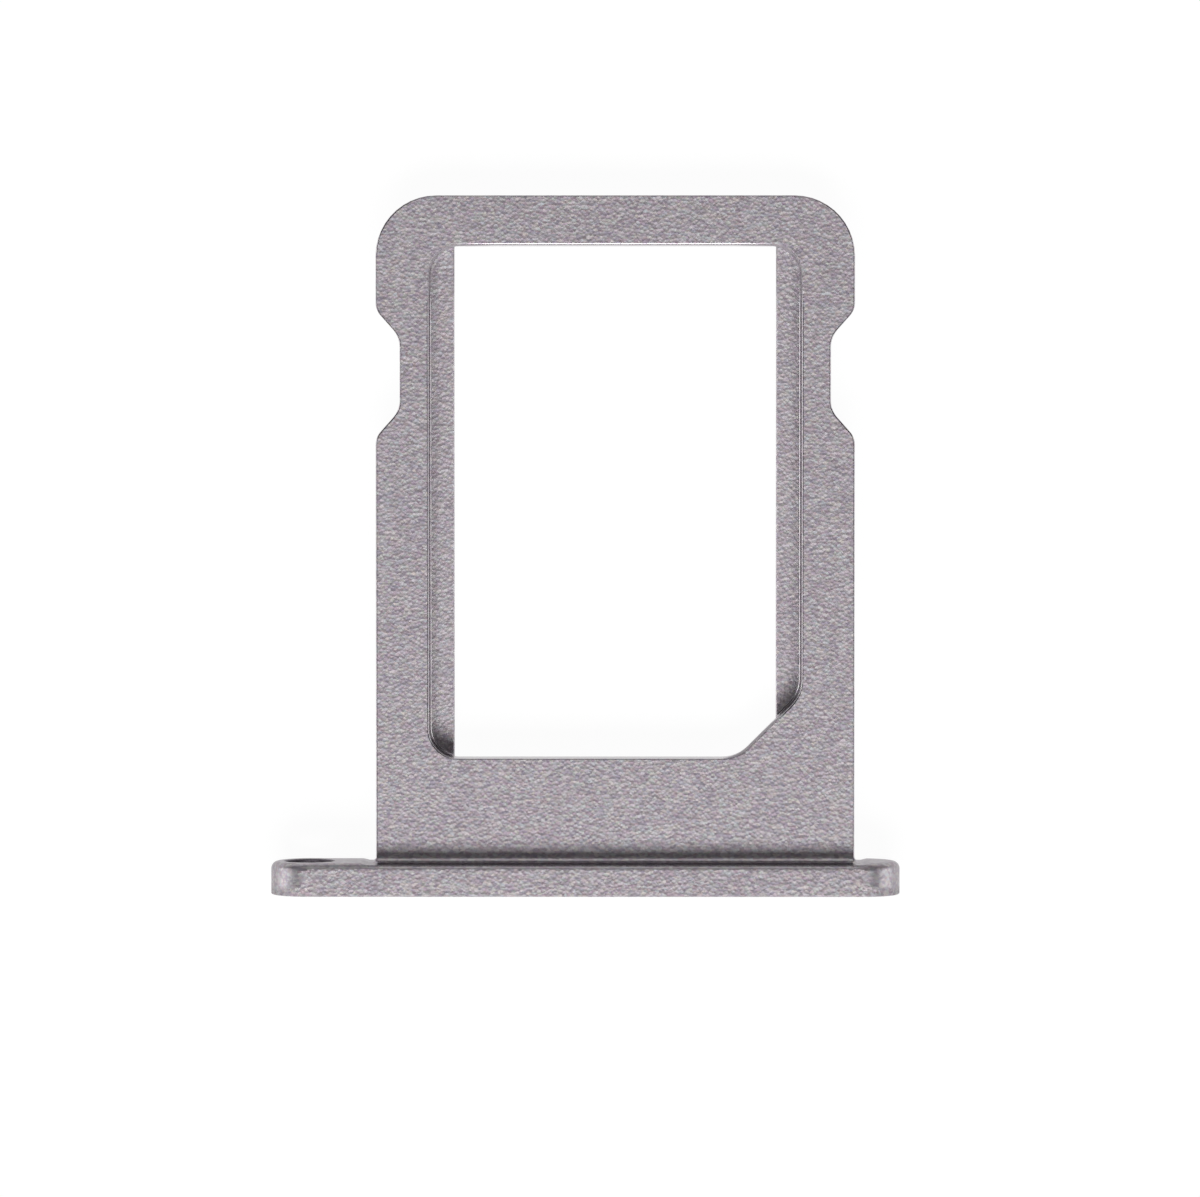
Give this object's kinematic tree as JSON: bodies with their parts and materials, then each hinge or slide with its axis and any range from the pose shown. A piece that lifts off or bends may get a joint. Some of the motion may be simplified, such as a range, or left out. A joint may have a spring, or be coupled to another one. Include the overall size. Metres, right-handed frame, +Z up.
{
  "type": "sim card tray",
  "caption": "Flat metal tray with a stepped pocket for a nano card, notched sides, a rounded tip and a round-ended face plate with an eject hole.",
  "frame": {"origin": "centre of the underside of the tray's own box, on the level of the face plate's lowest line", "axes": "+X along the face plate, away from the eject hole; +Y from the face plate to the tip; +Z up out of the card pocket"},
  "size_m": [0.0152, 0.0168, 0.0018],
  "materials": {
    "anodised_aluminium": "fine bead-blasted and grey anodised, satin"
  },
  "bodies": {
    "root": {"sim_tray": "anodised_aluminium"}
  },
  "joints": []
}
